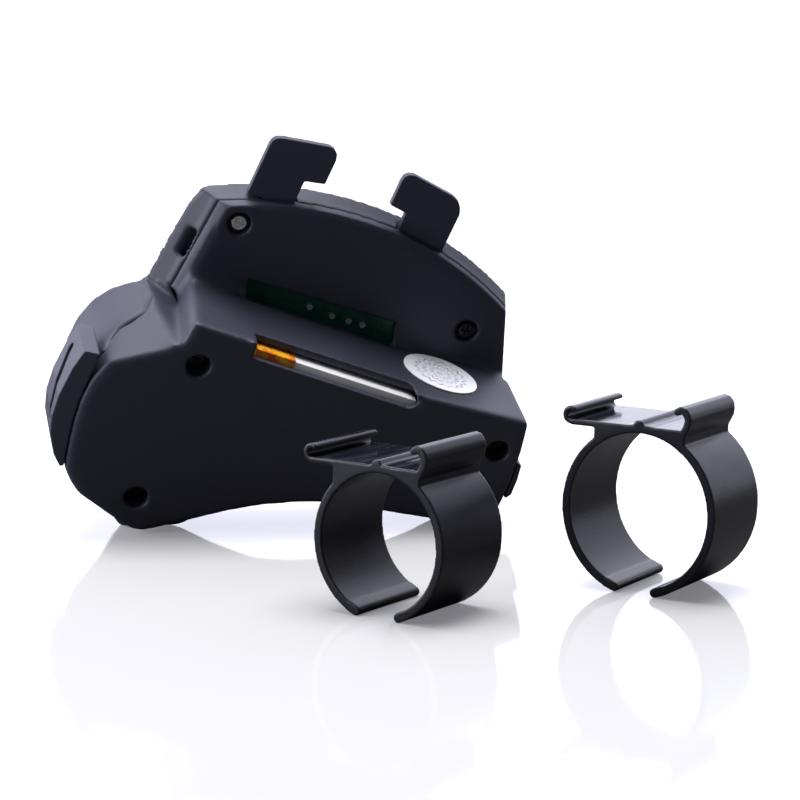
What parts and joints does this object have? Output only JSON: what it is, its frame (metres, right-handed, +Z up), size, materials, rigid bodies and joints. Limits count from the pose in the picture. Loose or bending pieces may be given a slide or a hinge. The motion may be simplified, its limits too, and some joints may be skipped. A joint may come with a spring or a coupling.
{
  "type": "steering wheel hands-free speakerphone",
  "caption": "Steering-wheel hands-free speakerphone, back towards the viewer, with a stepped rim seat, strap hooks, windows on its inside and loose spring clips.",
  "frame": {"origin": "centre of the whole group's box, on the surface it stands on", "axes": "+Z up, +X to the right and +Y away from a viewer who faces the unit's back; the unit stands on its lobes leaning 20 degrees towards that viewer, as pictured"},
  "size_m": [0.1556, 0.1428, 0.098],
  "materials": {
    "shell": "soft-touch matte",
    "side_plate": "matte",
    "hook": "matte",
    "lens": "gloss",
    "display": "satin",
    "answer_green": "satin",
    "end_red": "satin",
    "key_grey": "satin",
    "tin": "satin",
    "speaker_steel": "satin",
    "speaker_black": "matte",
    "mesh": "matte",
    "board": "satin",
    "socket_steel": "satin",
    "battery_foil": "satin",
    "amber_tape": "gloss",
    "lead_red": "satin",
    "sticker": "matte",
    "screw_steel": "satin",
    "clip": "semi-gloss"
  },
  "bodies": {
    "case": {"rear_shell": "shell", "front_shell": "shell", "left_side_plate": "side_plate", "right_side_plate": "side_plate", "hook_left": "hook", "hook_right": "hook", "display_lens": "lens", "display_module": "display", "key_switches": "tin", "speaker_frame": "speaker_steel", "speaker_magnet": "speaker_steel", "speaker_cone": "speaker_black", "speaker_gasket": "speaker_black", "speaker_mesh": "mesh", "microphone": "tin", "circuit_board": "board", "solder_pins": "tin", "charging_socket": "socket_steel", "socket_tongue": "speaker_black", "battery": "battery_foil", "battery_tape": "amber_tape", "battery_lead": "lead_red", "round_sticker": "sticker", "long_screws": "screw_steel", "short_screws": "screw_steel"},
    "answer_key": {"answer_key": "answer_green"},
    "menu_key": {"menu_key": "key_grey"},
    "end_key": {"end_key": "end_red"},
    "volume_down_key": {"volume_down_key": "key_grey"},
    "volume_up_key": {"volume_up_key": "key_grey"},
    "clip_large": {"clip_large": "clip"},
    "clip_small": {"clip_small": "clip"}
  },
  "joints": [
    {"name": "answer_press", "type": "slide", "parent": "case", "child": "answer_key", "axis": [0, -0.9397, -0.342], "range_m": [0, 0.0008], "stiffness_N_per_m": 900, "springref_m": -0.0004},
    {"name": "menu_press", "type": "slide", "parent": "case", "child": "menu_key", "axis": [0, -0.9397, -0.342], "range_m": [0, 0.0008], "stiffness_N_per_m": 900, "springref_m": -0.0004},
    {"name": "end_press", "type": "slide", "parent": "case", "child": "end_key", "axis": [0, -0.9397, -0.342], "range_m": [0, 0.0008], "stiffness_N_per_m": 900, "springref_m": -0.0004},
    {"name": "volume_down_press", "type": "slide", "parent": "case", "child": "volume_down_key", "axis": [0, -0.9397, -0.342], "range_m": [0, 0.0008], "stiffness_N_per_m": 900, "springref_m": -0.0004},
    {"name": "volume_up_press", "type": "slide", "parent": "case", "child": "volume_up_key", "axis": [0, -0.9397, -0.342], "range_m": [0, 0.0008], "stiffness_N_per_m": 900, "springref_m": -0.0004},
    {"name": "clip_large_lift", "type": "slide", "parent": "case", "child": "clip_large", "axis": [0, 0, 1], "range_m": [0, 0.06]},
    {"name": "clip_small_lift", "type": "slide", "parent": "case", "child": "clip_small", "axis": [0, 0, 1], "range_m": [0, 0.06]}
  ]
}
